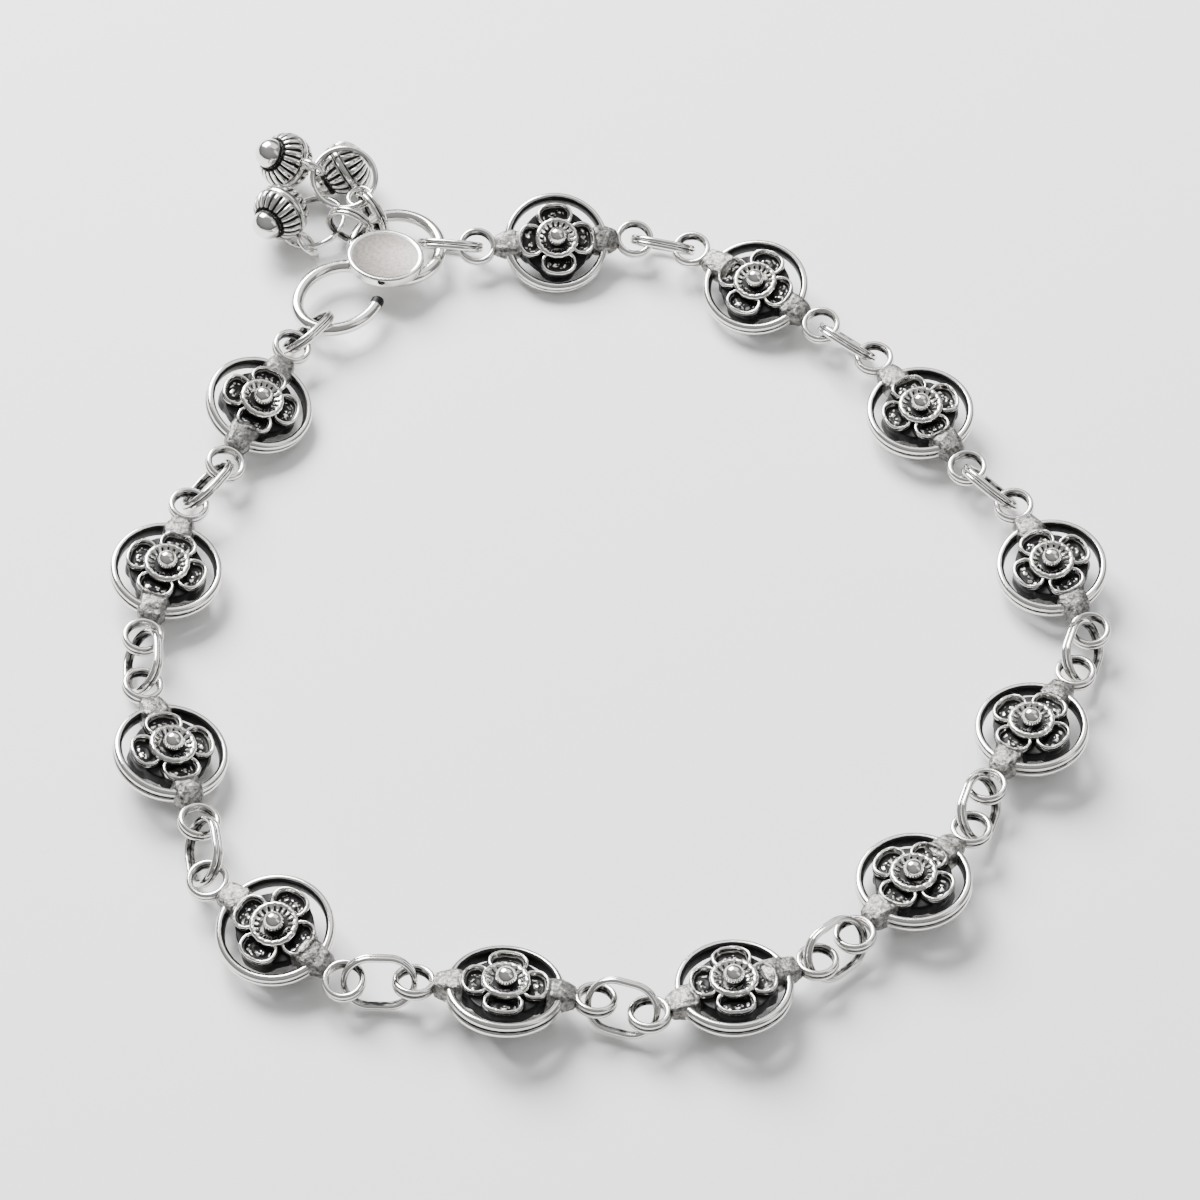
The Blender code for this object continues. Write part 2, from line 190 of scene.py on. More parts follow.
def charmPlaces(clasp):
    kinds = {
        "ring": (rings["radius"], rings["wire"]), "hoop": (hoops["radius"], hoops["wire"]),
        "bell": (bells["eye"], bells["eyeWire"]),
    }
    hung = {
        "hook": {"place": clasp, "centre": hook["eye"], "middle": hook["eye"], "wire": hook["wire"]},
    }
    places = {}
    for row in charms:
        radius, wire = kinds[row["kind"]]
        carrier = hung[row["on"]]
        turn = math.radians(row["at"])
        spot = Vector((carrier["centre"] + carrier["middle"] * math.cos(turn),
                       carrier["middle"] * math.sin(turn), 0))
        tangent = Vector((-math.sin(turn), math.cos(turn), 0))
        tangent = carrier["place"].to_3x3() @ tangent * row["side"]
        inside = radius - wire - carrier["wire"] / 2 - clearance
        place = hangFrame(carrier["place"] @ spot, tangent, row, inside)
        hung[row["name"]] = {"place": place, "centre": 0, "middle": radius - wire / 2, "wire": wire}
        places[row["name"]] = place
    return places


# Mesh helpers

def onlyCorners(geometry):
    return [part for part in geometry if isinstance(part, bmesh.types.BMVert)]


def onlyEdges(geometry):
    return [part for part in geometry if isinstance(part, bmesh.types.BMEdge)]


def smoothstep(low, high, value):
    share = min(1, max(0, (value - low) / (high - low)))
    return share * share * (3 - 2 * share)


# Steps of the oxide and painted-shade rules: the values, in millimetres unless a share, that each one
# rises between
fades = {
    "wall": (4.1, 4.2), "wallEnd": (4.42, 4.56),
    "groove": (4.4, 4.5), "grooveSide": (0.05, 0.13), "rimEnd": (4.93, 4.99), "loopStart": (5.6, 5.8),
    "hollow": (0.28, 0.55), "hollowTop": (0.94, 1.05), "mound": (0.55, 0.7), "fleck": (0.05, 0.22),
    "sideTop": (0.72, 0.92), "sideEnd": (4.1, 4.2), "sideIn": (0.3, 0.4),
    "notch": (0.96, 1.02), "notchBase": (0.8, 0.9), "notchEnd": (1.58, 1.68), "notchTaper": (1.1, 1.6),
    "well": (0.35, 0.45), "wellEnd": (1.04, 1.12), "wellTop": (1.4, 1.6),
    "under": (2.3, 2.45), "underTop": (1.0, 1.1),
    "wireSide": (0.02, 0.12), "cutEnd": (1.0, 1.3),
    "rib": (0.42, 0.72), "ribStart": (1.3, 1.5), "beside": (0.04, 0.12), "besideStart": (1.6, 1.9),
    "ring": (1.4, 1.46), "ringEnd": (1.66, 1.8), "ringBase": (1.6, 1.7),
    "flatEnd": (1.1, 1.4), "flatBase": (1.9, 2.0), "bodyEnd": (2.76, 2.8),
}


def rises(name, value):
    return smoothstep(*fades[name], value)


def falls(name, value):
    return 1 - smoothstep(*fades[name], value)


# Distance under which corners are one, and corners round a wire
mergeDistance = 0.0005
wireSides = 12


def toMesh(bm, name):
    bmesh.ops.remove_doubles(bm, verts=bm.verts, dist=mergeDistance)
    bmesh.ops.recalc_face_normals(bm, faces=bm.faces)
    mesh = bpy.data.meshes.new(name)
    bm.to_mesh(mesh)
    bm.free()
    mesh.shade_smooth()
    return mesh


# A closed outline in the XZ plane, ready to spin
def addOutline(bm, points):
    corners = [bm.verts.new((x, 0, z)) for x, z in points]
    edges = [bm.edges.new((corners[k - 1], corners[k])) for k in range(len(corners))]
    return corners + edges


def arcPoints(middle, height, radius, start, stop, count):
    turns = [math.radians(start + (stop - start) * k / (count - 1)) for k in range(count)]
    return [(middle + radius * math.cos(turn), height + radius * math.sin(turn)) for turn in turns]


def spinRound(bm, section, steps):
    bmesh.ops.spin(
        bm, geom=section, cent=(0, 0, 0), axis=(0, 0, 1), angle=math.tau, steps=steps, use_merge=True
    )


def addWireSection(bm, middle, level, wire):
    points = arcPoints(middle, level, wire / 2, 0, 360 - 360 / wireSides, wireSides)
    return addOutline(bm, points)


# Wires laid on each other: round rings at heights above and below the middle
def addWireRing(bm, radius, wire, height, steps):
    lift = (height - wire) / 2
    for level in sorted({-lift, lift}):
        spinRound(bm, addWireSection(bm, radius - wire / 2, level, wire), steps)


def joined(meshes, name):
    bm = bmesh.new()
    for mesh in meshes:
        bm.from_mesh(mesh)
        bpy.data.meshes.remove(mesh)
    mesh = bpy.data.meshes.new(name)
    bm.to_mesh(mesh)
    bm.free()
    mesh.shade_smooth()
    return mesh


def evaluated(mesh, steps):
    guide = bpy.data.objects.new("guide", mesh)
    bpy.context.collection.objects.link(guide)
    for kind, settings in steps:
        modifier = guide.modifiers.new(kind, kind)
        for key, value in settings.items():
            setattr(modifier, key, value)
    graph = bpy.context.evaluated_depsgraph_get()
    result = bpy.data.meshes.new_from_object(guide.evaluated_get(graph))
    bpy.data.objects.remove(guide)
    result.shade_smooth()
    return result


# Black oxide of each kind of piece: how far metal round a corner counts, in millimetres, and the
# shares of hidden sky at which the oxide starts and is full
soot = {
    "disc": (1.2, 0.42, 0.72),
    "hook": (1.8, 0.36, 0.66),
    "wires": (1.0, 0.5, 0.8),
    "bell": (0.8, 0.4, 0.75),
}

# How hidden sky is measured, and the most oxide and painted shade on the inner side of rings and links
shading = {"rays": 20, "lift": 0.02, "near": 0.5, "rounds": 2, "inner": 0.62}


# Share of the sky that nearby metal hides from each corner
def hidden(mesh, reach):
    rays = shading["rays"]
    tree = BVHTree.FromPolygons([v.co for v in mesh.vertices], [p.vertices for p in mesh.polygons])
    golden = math.pi * (3 - math.sqrt(5))
    fan = []
    for k in range(rays):
        share = (k + 0.5) / rays
        side, around = math.sqrt(share), golden * k
        fan.append(Vector((side * math.cos(around), side * math.sin(around), math.sqrt(1 - share))))
    values = []
    for corner in mesh.vertices:
        turn = Vector((0, 0, 1)).rotation_difference(corner.normal)
        start = corner.co + corner.normal * shading["lift"]
        hits = 0
        for ray in fan:
            distance = tree.ray_cast(start, turn @ ray, reach)[3]
            if distance is not None:
                hits += 1 - shading["near"] * distance / reach
        values.append(hits / rays)
    return values


def evened(mesh, values, rounds):
    for _ in range(rounds):
        total = list(values)
        count = [1] * len(values)
        for edge in mesh.edges:
            a, b = edge.vertices
            total[a] += values[b]
            total[b] += values[a]
            count[a] += 1
            count[b] += 1
        values = [t / c for t, c in zip(total, count)]
    return values


def paint(mesh, name, values):
    layer = mesh.attributes.new(name, "FLOAT", "POINT")
    layer.data.foreach_set("value", values)


# Black oxide where metal is hidden, and black where the rule paints it, which is oxide and in places
# painted shade, on the first corners of the mesh only where a last one is given
def oxideAndShade(mesh, kind, rule, last=None):
    reach, low, high = soot[kind]
    shade = evened(mesh, hidden(mesh, reach), shading["rounds"])
    values = []
    for k, (corner, share) in enumerate(zip(mesh.vertices, shade)):
        bare = last is not None and k >= last
        values.append(0.0 if bare else max(smoothstep(low, high, share), rule(corner.co)))
    paint(mesh, "oxideAndShade", values)


# Materials

def mixNode(tree, kind, share, low, high):
    node = tree.nodes.new("ShaderNodeMix")
    node.data_type = kind
    slots = {"FLOAT": (2, 3, 0), "RGBA": (6, 7, 2)}[kind]
    for slot, value in zip(slots[:2], (low, high)):
        if hasattr(value, "is_linked"):
            tree.links.new(value, node.inputs[slot])
        else:
            node.inputs[slot].default_value = value
    tree.links.new(share, node.inputs[0])
    return node.outputs[slots[2]]


def noiseNode(tree, place, scale, detail, roughness=0.55):
    node = tree.nodes.new("ShaderNodeTexNoise")
    node.inputs["Scale"].default_value = scale
    node.inputs["Detail"].default_value = detail
    node.inputs["Roughness"].default_value = roughness
    tree.links.new(place, node.inputs["Vector"])
    return node.outputs["Fac"]


def rangeNode(tree, value, fromLow, fromHigh, toLow, toHigh):
    node = tree.nodes.new("ShaderNodeMapRange")
    tree.links.new(value, node.inputs["Value"])
    ends = {"From Min": fromLow, "From Max": fromHigh, "To Min": toLow, "To Max": toHigh}
    for name, number in ends.items():
        node.inputs[name].default_value = number
    return node.outputs["Result"]


def sumNode(tree, first, second):
    node = tree.nodes.new("ShaderNodeMath")
    node.operation = "ADD"
    node.use_clamp = True
    tree.links.new(first, node.inputs[0])
    tree.links.new(second, node.inputs[1])
    return node.outputs[0]


def attributeNode(tree, name):
    node = tree.nodes.new("ShaderNodeAttribute")
    node.attribute_name = name
    return node.outputs["Fac"]


def grey(share):
    return (share, share, share, 1)


finishes = {
    "bright": (0.78, 0.765, 0.74, 1),
    "oxideAndShadeBlack": (0.006, 0.0055, 0.0055, 1),
    "solder": (0.2, 0.195, 0.187, 1),
    "satin": (0.27, 0.25, 0.235, 1),
    "polish": 0.13,
    "wirePolish": 0.1,
    "sooty": 0.45,
    "solderRough": 0.4,
    "satinRough": 0.62,
    "specular": 0.16,
    "speckle": 0.6,
    "satinGrain": 0.3,
    "polishGrain": 0.06,
    "cloudScale": 1400,
    "pitScale": 3400,
    "drift": 0.18,
    "bump": 0.00008,
}


# Polished silver, blackened where the oxide and painted shade are, and matt and speckled where it is
# soldered
def silver(name, polish=finishes["polish"], matt="solder", grain=1.0):
    material = bpy.data.materials.new(name)
    material.use_nodes = True
    tree = material.node_tree
    shader = tree.nodes["Principled BSDF"]
    place = tree.nodes.new("ShaderNodeTexCoord").outputs["Object"]
    dark = attributeNode(tree, "oxideAndShade")
    pad = attributeNode(tree, "solder")
    cloud = noiseNode(tree, place, finishes["cloudScale"], 3)
    pits = noiseNode(tree, place, finishes["pitScale"], 4, 0.7)
    drift = rangeNode(tree, cloud, 0.3, 0.7, -finishes["drift"], finishes["drift"])
    edge = rangeNode(tree, sumNode(tree, dark, drift), 0.22, 0.7, 0, 1)
    swing = finishes["speckle"] * grain
    pale = [min(1, (1 + swing) * share) for share in finishes[matt][:3]] + [1]
    deep = [(1 - swing) * share for share in finishes[matt][:3]] + [1]
    speckle = mixNode(tree, "RGBA", rangeNode(tree, pits, 0.38, 0.62, 0, 1), deep, pale)
    metal = mixNode(tree, "RGBA", pad, finishes["bright"], speckle)
    # Base colour goes to the black of the oxide and of the painted shade
    colour = mixNode(tree, "RGBA", edge, metal, finishes["oxideAndShadeBlack"])
    tree.links.new(colour, shader.inputs["Base Color"])
    tree.links.new(rangeNode(tree, edge, 0, 1, 1, 0), shader.inputs["Metallic"])
    shader.inputs["Specular IOR Level"].default_value = finishes["specular"]
    gloss = rangeNode(tree, cloud, 0.3, 0.7, polish * 0.75, polish * 1.4)
    gloss = mixNode(tree, "FLOAT", pad, gloss, finishes[matt + "Rough"])
    gloss = mixNode(tree, "FLOAT", edge, gloss, finishes["sooty"])
    tree.links.new(gloss, shader.inputs["Roughness"])
    bump = tree.nodes.new("ShaderNodeBump")
    bump.inputs["Distance"].default_value = finishes["bump"]
    depth = mixNode(tree, "FLOAT", pad, finishes["polishGrain"], grain)
    tree.links.new(depth, bump.inputs["Strength"])
    tree.links.new(pits, bump.inputs["Height"])
    tree.links.new(bump.outputs["Normal"], shader.inputs["Normal"])
    return material


def placed(name, mesh, place, material, slot, *nodes):
    mesh.transform(metres @ place)
    mesh.materials.clear()
    mesh.materials.append(material)
    for layer in ("oxideAndShade", "solder"):
        if layer not in mesh.attributes:
            paint(mesh, layer, [0.0] * len(mesh.vertices))
    piece = bpy.data.objects.new(name, mesh)
    bpy.context.collection.objects.link(piece)
    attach(piece, "root")
    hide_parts(*nodes)


# Flower discs

flower = {
    "petalMiddle": 2.42, "petalAlong": 1.3, "petalAcross": 1.72, "petalTop": 1.22, "lip": 0.25,
    "round": 2.2, "inward": 1.4, "petalSteps": 40,
    "corolla": 2.08, "corollaTop": 1.52, "scallop": 0.009, "ball": 0.88, "ballHeight": 1.66,
    "notches": 18, "notchDepth": 0.24, "notchWidth": 0.6, "notchNarrow": 0.25,
    "hub": 1.75, "hubHeight": 2.3, "web": 3.3, "webHeight": 1.1,
    "voxel": 0.085, "keep": 0.5, "waves": 0.05, "waveScale": 1.4,
}
pads = {
    "outer": 6.1, "halfWidth": 1.2, "narrow": 0.8, "halfHeight": 0.98, "low": 0.55, "swell": 1.22,
    "start": 0.4, "end": (6.0, 6.5), "side": (1.25, 1.5), "rough": 0.08, "grain": 2.4,
}

# Petal's section, as shares of the way from its middle to its outline, and heights
petalWall = [(0, 0.0), (0.9, 0.0), (0.96, 0.35), (0.985, 0.7)]
petalHollow = [(0.7, 0.8), (0.6, 0.56), (0.44, 0.46), (0.3, 0.66), (0.16, 0.6), (0, 0.5)]
lipShare, lipTurns = 0.13, (0, 0.6, 1.2, 1.9, 2.6, 3.3)


# Outside of the rim is two wires with a groove between them, and its inner wall is straight
def rimMesh():
    bm = bmesh.new()
    wire = rim["wire"] / 2
    middle = rim["radius"] - wire
    lift = rim["height"] / 2 - wire
    upper = arcPoints(middle, lift, wire, 165, -62, 15)
    lower = [(x, -z) for x, z in reversed(upper)]
    spinRound(bm, addOutline(bm, upper + lower), rim["steps"])
    return toMesh(bm, "rim")


# From a petal's middle to its outline, in millimetres
def petalReach(turn):
    power = flower["round"]
    along = abs(math.cos(turn) / flower["petalAlong"]) ** power
    across = abs(math.sin(turn) / flower["petalAcross"]) ** power
    return (along + across) ** (-1 / power)


# Petal: a deep cup with an even rounded lip and a hammered mound in its hollow
def addPetal(bm, angle, face):
    top, lip = flower["petalTop"], flower["lip"]
    rounded = [(1 + lipShare * (math.cos(t) - 1), top + lip * (math.sin(t) - 1)) for t in lipTurns]
    outline = petalWall + rounded + petalHollow
    corners = [bm.verts.new((x, 0, z)) for x, z in outline]
    edges = [bm.edges.new(pair) for pair in zip(corners, corners[1:])]
    spinRound(bm, corners + edges, flower["petalSteps"])
    shell = [corner for corner in bm.verts if not corner.tag]
    for corner in shell:
        share = math.hypot(corner.co.x, corner.co.y)
        turn = math.atan2(corner.co.y, corner.co.x)
        outer = max(share, 0.5)
        reach = (petalReach(turn) - (1 - outer) * flower["inward"]) * share / outer
        corner.co.x = flower["petalMiddle"] + reach * math.cos(turn)
        corner.co.y = reach * math.sin(turn)
        corner.co.z *= face
        corner.tag = True
    bmesh.ops.rotate(bm, verts=shell, matrix=Matrix.Rotation(angle, 3, "Z"))


# Solder pad over the rim, from the petal to the end loop
def addPad(bm, side, inner):
    made = bmesh.ops.create_cube(bm, size=2)["verts"]
    edges = list({edge for corner in made for edge in corner.link_edges})
    bmesh.ops.subdivide_edges(bm, edges=edges, cuts=4, use_grid_fill=True)
    block = [corner for corner in bm.verts if not corner.tag]
    for _ in range(6):
        bmesh.ops.smooth_vert(
            bm, verts=block, factor=0.5, use_axis_x=True, use_axis_y=True, use_axis_z=True
        )
    for corner in block:
        share = (corner.co.x + 1) / 2
        width = pads["halfWidth"] + (pads["narrow"] - pads["halfWidth"]) * share ** 2
        height = pads["halfHeight"] + (pads["low"] - pads["halfHeight"]) * share ** 2
        corner.co.x = side * (inner + (pads["outer"] - inner) * share)
        corner.co.y *= width * pads["swell"]
        corner.co.z *= height * pads["swell"]
        corner.tag = True


# Share of the solder at a place on a disc
def padShare(place, inners):
    inner = inners[0 if place.x > 0 else 1]
    reach = abs(place.x)
    along = smoothstep(inner, inner + pads["start"], reach) * (1 - smoothstep(*pads["end"], reach))
    return along * (1 - smoothstep(*pads["side"], abs(place.y)))


# Petals, hub, a web that fills the gaps between them with black painted shade, and pads cast and
# soldered into one skin, with the rough solder worked into it
def castMesh(twist, inners):
    bm = bmesh.new()
    for face in (1, -1):
        for quarter in range(4):
            addPetal(bm, math.radians(90 * quarter + twist), face)
    # The web is a black sheet between front and back flowers, put in the gaps as painted shade
    for radius, depth in ((flower["hub"], flower["hubHeight"]), (flower["web"], flower["webHeight"])):
        made = bmesh.ops.create_cone(
            bm, cap_ends=True, segments=48, radius1=radius, radius2=radius, depth=depth
        )
        for corner in made["verts"]:
            corner.tag = True
    for side, inner in zip((1, -1), inners):
        addPad(bm, side, inner)
    raw = toMesh(bm, "raw")
    skin = evaluated(raw, [
        ("REMESH", {"mode": "VOXEL", "voxel_size": flower["voxel"]}),
        ("SMOOTH", {"factor": 0.5, "iterations": 3}),
        ("DECIMATE", {"ratio": flower["keep"]}),
    ])
    bpy.data.meshes.remove(raw)

    # The grain is shifted by the disc's own values, so that no two kinds of disc are alike
    shift = Vector((inners[0] * 7.3, twist * 3.1, inners[1] * 5.7))
    moved = []
    for corner in skin.vertices:
        share = padShare(corner.co, inners)
        rough = noise.fractal(corner.co * pads["grain"] + shift, 0.7, 2.0, 3) * pads["rough"] * share
        waves = noise.noise(corner.co * flower["waveScale"] + shift) * flower["waves"]
        moved.append(corner.co + corner.normal * (rough + waves))
    for corner, place in zip(skin.vertices, moved):
        corner.co = place
    return skin


# Depth of the corolla's notches: wedges that open toward the ball
def notchShare(turn, reach):
    notch = turn / math.tau * flower["notches"]
    width = flower["notchWidth"] - flower["notchNarrow"] * rises("notchTaper", reach)
    aside = abs(notch - round(notch)) * 2
    return (1 - smoothstep(width * 0.6, width, aside)) * falls("notchEnd", reach)


# Corolla with a rounded scalloped edge, notched inside, round the well in which its ball sits
def corollaMesh(face, twist):
    bm = bmesh.new()
    outer, top = flower["corolla"], flower["corollaTop"]
    outline = [
        (0.55, 0.5), (outer - 0.2, 0.6), (outer - 0.07, top - 0.56), (outer, top - 0.36),
        (outer - 0.02, top - 0.2), (outer - 0.1, top - 0.07), (outer - 0.22, top),
        (outer - 0.36, top + 0.01), (outer - 0.48, top - 0.05),
        (1.5, top - 0.14), (1.4, top - 0.2), (1.3, top - 0.26), (1.2, top - 0.33), (1.1, top - 0.42),
        (0.98, top - 0.56), (0.55, top - 0.6),
    ]
    spinRound(bm, addOutline(bm, outline), flower["notches"] * 8)
    for corner in bm.verts:
        reach = math.hypot(corner.co.x, corner.co.y)
        turn = math.atan2(corner.co.y, corner.co.x)
        if 0.95 < reach < 1.8 and corner.co.z > 0.9:
            corner.co.z -= notchShare(turn, reach) * flower["notchDepth"]
        if reach > 1.8:
            scallop = 1 + flower["scallop"] * math.cos(turn * flower["notches"])
            corner.co.x *= scallop
            corner.co.y *= scallop
    ball = bmesh.ops.create_uvsphere(bm, u_segments=32, v_segments=20, radius=flower["ball"])
    bmesh.ops.translate(bm, verts=ball["verts"], vec=(0, 0, flower["ballHeight"]))
    flip = Matrix.Rotation(0 if face > 0 else math.pi, 3, "X")
    bmesh.ops.rotate(bm, verts=bm.verts, matrix=Matrix.Rotation(math.radians(twist), 3, "Z") @ flip)
    return toMesh(bm, "corolla")


def loopPair():
    bm = bmesh.new()
    addWireRing(bm, loops["radius"], loops["wire"], loops["height"], loops["steps"])
    first = list(bm.verts)
    copied = bmesh.ops.duplicate(bm, geom=bm.verts[:] + bm.edges[:] + bm.faces[:])
    bmesh.ops.translate(bm, verts=first, vec=(loops["reach"], 0, 0))
    bmesh.ops.translate(bm, verts=onlyCorners(copied["geom"]), vec=(-loops["reach"], 0, 0))
    return toMesh(bm, "loops")


# Oxide and painted shade on the inner side of a ring, or of an oval with straight sides
def innerOxideAndShade(place, straight, middle, wire):
    reach = math.hypot(max(0.0, abs(place.x) - straight), place.y)
    return shading["inner"] * (1 - smoothstep(middle - 0.42 * wire, middle - 0.2 * wire, reach))


# Where the disc is black: oxide inside the rim, in the grooves between wires, in the hollows and in
# the corolla's notches;
# oxide and painted shade round the outsides of the petals, on the web, in the well round the ball and
# inside the end loops;
# and painted shadow under the corolla's edge
def discOxideAndShade(twist, inners):
    turned = Matrix.Rotation(math.radians(-twist), 3, "Z")

    def rule(place):
        reach, height = math.hypot(place.x, place.y), abs(place.z)
        wall = rises("wall", reach) * falls("wallEnd", reach)
        groove = falls("grooveSide", height) * rises("groove", reach)
        groove *= 1 - rises("rimEnd", reach) * falls("loopStart", reach)
        spot = turned @ place
        turn = math.atan2(spot.y, spot.x)
        quarter = turn - round(turn / (math.pi / 2)) * math.pi / 2
        along, across = reach * math.cos(quarter) - flower["petalMiddle"], reach * math.sin(quarter)
        inset = petalReach(math.atan2(across, along)) - math.hypot(along, across)
        mound = 0.85 * rises("mound", inset) * rises("fleck", noise.noise(spot * 4.2))
        hollow = rises("hollow", inset) * falls("hollowTop", height) * (1 - mound)
        # Outsides and backs of the petals, the hub's foot and the web: oxide and painted shade that
        # darkens the gaps
        side = falls("sideTop", height) * falls("sideEnd", reach) * falls("sideIn", inset)
        notch = notchShare(turn, reach) * rises("notch", reach) * rises("notchBase", height)
        # The well round the ball and the ball's lower side: oxide and painted shade
        well = rises("well", reach) * falls("wellEnd", reach) * falls("wellTop", height)
        # Painted shadow under the corolla's overhanging edge
        under = falls("under", reach) * falls("underTop", height)
        # Inside of the end loops: oxide and painted shade
        hole = 0
        if abs(place.x) > loops["reach"] - loops["radius"]:
            end = Vector((abs(place.x) - loops["reach"], place.y, 0))
            hole = innerOxideAndShade(end, 0, loops["radius"] - loops["wire"] / 2, loops["wire"])
        unsoldered = 1 - padShare(place, inners)
        return max(max(wall, groove, hollow, side, under, hole) * unsoldered, notch, well)

    return rule


def discMesh(twist, inners):
    cast = castMesh(twist, inners)
    castCount = len(cast.vertices)
    corollas = [corollaMesh(face, twist) for face in (1, -1)]
    mesh = joined([cast, rimMesh(), *corollas, loopPair()], "disc")
    oxideAndShade(mesh, "disc", discOxideAndShade(twist, inners))
    solder = []
    for k, corner in enumerate(mesh.vertices):
        solder.append(padShare(corner.co, inners) if k < castCount else 0.0)
    paint(mesh, "solder", evened(mesh, solder, shading["rounds"]))
    return mesh


def makeDiscs(material):
    variants = {}
    ends = []
    for number, row in enumerate(route, 1):
        node = f"disc_link_{number:02d}"
        place = discPlace(row, node)
        ends.append([place @ Vector((side * loops["reach"], 0, 0)) for side in (-1, 1)])
        kind = (row["twist"], row["pads"])
        if kind not in variants:
            variants[kind] = discMesh(*kind)
        mesh = variants[kind].copy()
        placed(f"flowerDisc_{number:02d}", mesh, place, material, "disc_silver", node)
    say(f"{len(route)} flower discs, {len(mesh.polygons)} faces each")
    return ends


# Oval links: two oval wires side by side

def ovalMesh():
    bm = bmesh.new()
    turn = (ovals["width"] - ovals["wire"]) / 2
    straight = (ovals["length"] - ovals["wire"]) / 2 - turn
    lift = (ovals["height"] - ovals["wire"]) / 2
    for level in (lift, -lift):
        section = addWireSection(bm, turn, level, ovals["wire"])
        corners = onlyCorners(section)
        bmesh.ops.rotate(bm, verts=corners, matrix=Matrix.Rotation(-math.pi / 2, 3, "Z"))
        bmesh.ops.translate(bm, verts=corners, vec=(straight, 0, 0))
        for end in (1, -1):
            turned = bmesh.ops.spin(
                bm, geom=section, cent=(end * straight, 0, 0), axis=(0, 0, 1), angle=math.pi,
                steps=ovals["steps"],
            )
            side = bmesh.ops.extrude_edge_only(bm, edges=onlyEdges(turned["geom_last"]))
            section = onlyCorners(side["geom"]) + onlyEdges(side["geom"])
            bmesh.ops.translate(bm, verts=onlyCorners(section), vec=(-2 * end * straight, 0, 0))
    return toMesh(bm, "oval")


# Where rings and ovals are black: oxide in the groove between two wires, and oxide and painted shade
# inside, where no polishing reaches
def wireOxideAndShade(straight, outer, wire, paired):
    def rule(place):
        groove = falls("wireSide", abs(place.z)) if paired else 0
        return max(groove, innerOxideAndShade(place, straight, outer - wire / 2, wire))

    return rule


def makeOvals(material, ends, clasp):
    base = ovalMesh()
    straight = (ovals["length"] - ovals["width"]) / 2
    oxideAndShade(base, "wires", wireOxideAndShade(straight, ovals["width"] / 2, ovals["wire"], True))
    for number, place in enumerate(ovalPlaces(ends, clasp), 1):
        node = f"oval_link_{number:02d}"
        placed(f"ovalWire_{number:02d}", base.copy(), place, material, "link_silver", node)
    say("oval links")


# S-hook and tag

def hookLine():
    first = (-360 - hook["tip"]) / hook["steps"]
    second = (180 + hook["eyeTip"]) / hook["steps"]
    points = [hookPoint(hook["tip"] + k * first) for k in range(hook["steps"])]
    return points + [eyePoint(180 + k * second) for k in range(hook["steps"] + 1)]


def wireMesh(points, wire):
    curve = bpy.data.curves.new("wire", "CURVE")
    curve.dimensions = "3D"
    curve.bevel_depth = wire / 2
    curve.bevel_resolution = 6
    curve.use_fill_caps = True
    line = curve.splines.new("POLY")
    line.points.add(len(points) - 1)
    for spot, point in zip(line.points, points):
        spot.co = (*point, 1)
    guide = bpy.data.objects.new("guide", curve)
    bpy.context.collection.objects.link(guide)
    graph = bpy.context.evaluated_depsgraph_get()
    bm = bmesh.new()
    bm.from_mesh(bpy.data.meshes.new_from_object(guide.evaluated_get(graph)))
    bpy.data.objects.remove(guide)
    bmesh.ops.remove_doubles(bm, verts=bm.verts, dist=mergeDistance)
    cutEdges = [edge for edge in bm.edges if edge.calc_face_angle(0) > 1]
    bmesh.ops.bevel(
        bm, geom=cutEdges, offset=hook["endRound"], segments=3, profile=0.5, affect="EDGES",
        material=-1, offset_type="OFFSET",
    )
    return toMesh(bm, "wire")


# Oval plate with a raised lip round a slightly sunk face
def tagMesh(turn):
    bm = bmesh.new()
    bmesh.ops.create_circle(bm, cap_ends=True, radius=0.5, segments=tag["steps"])
    bmesh.ops.scale(bm, verts=bm.verts, vec=(tag["length"], tag["width"], 1))
    raised = bmesh.ops.extrude_face_region(bm, geom=bm.faces[:])
    bmesh.ops.translate(bm, verts=onlyCorners(raised["geom"]), vec=(0, 0, tag["thickness"]))
    bmesh.ops.bevel(
        bm, geom=onlyEdges(raised["geom"]), offset=tag["edge"], segments=4, profile=0.5,
        affect="EDGES", material=-1,
    )
    face = [f for f in bm.faces if f.normal.z > 0.99 and len(f.verts) > 8]
    for thickness, depth in ((tag["lip"], 0), (tag["step"], -tag["recess"])):
        bmesh.ops.inset_region(
            bm, faces=face, thickness=thickness, depth=depth, use_even_offset=True
        )
    bmesh.ops.rotate(bm, verts=bm.verts, matrix=Matrix.Rotation(turn, 3, "Z"))
    bmesh.ops.translate(bm, verts=bm.verts, vec=(tag["ahead"], tag["aside"], tagLevel))
    mesh = toMesh(bm, "tag")
    mesh.set_sharp_from_angle(angle=math.radians(tag["sharp"]))
    return mesh


def makeHook(material, clasp, heading):
    tip = hookPoint(hook["tip"])

    def cutEnd(place):
        return falls("cutEnd", (place - tip).length)

    wire = wireMesh(hookLine(), hook["wire"])
    plate = tagMesh(math.radians(tag["heading"]) - heading)
    bare = len(wire.vertices)
    mesh = joined([wire, plate], "hook")
    oxideAndShade(mesh, "hook", cutEnd, bare)
    face = tagLevel + tag["thickness"] - tag["recess"]
    satin = []
    for k, corner in enumerate(mesh.vertices):
        satin.append(1.0 if k >= bare and abs(corner.co.z - face) < 0.005 else 0.0)
    paint(mesh, "solder", satin)
    placed("hookWithTag", mesh, clasp, material, "hook_silver", "s_hook_clasp")
    say("s-hook and tag")


# Rings, hoops and bells

def ringMesh(spec, height):
    bm = bmesh.new()
    addWireRing(bm, spec["radius"], spec["wire"], height, spec["steps"])
    return toMesh(bm, "ring")


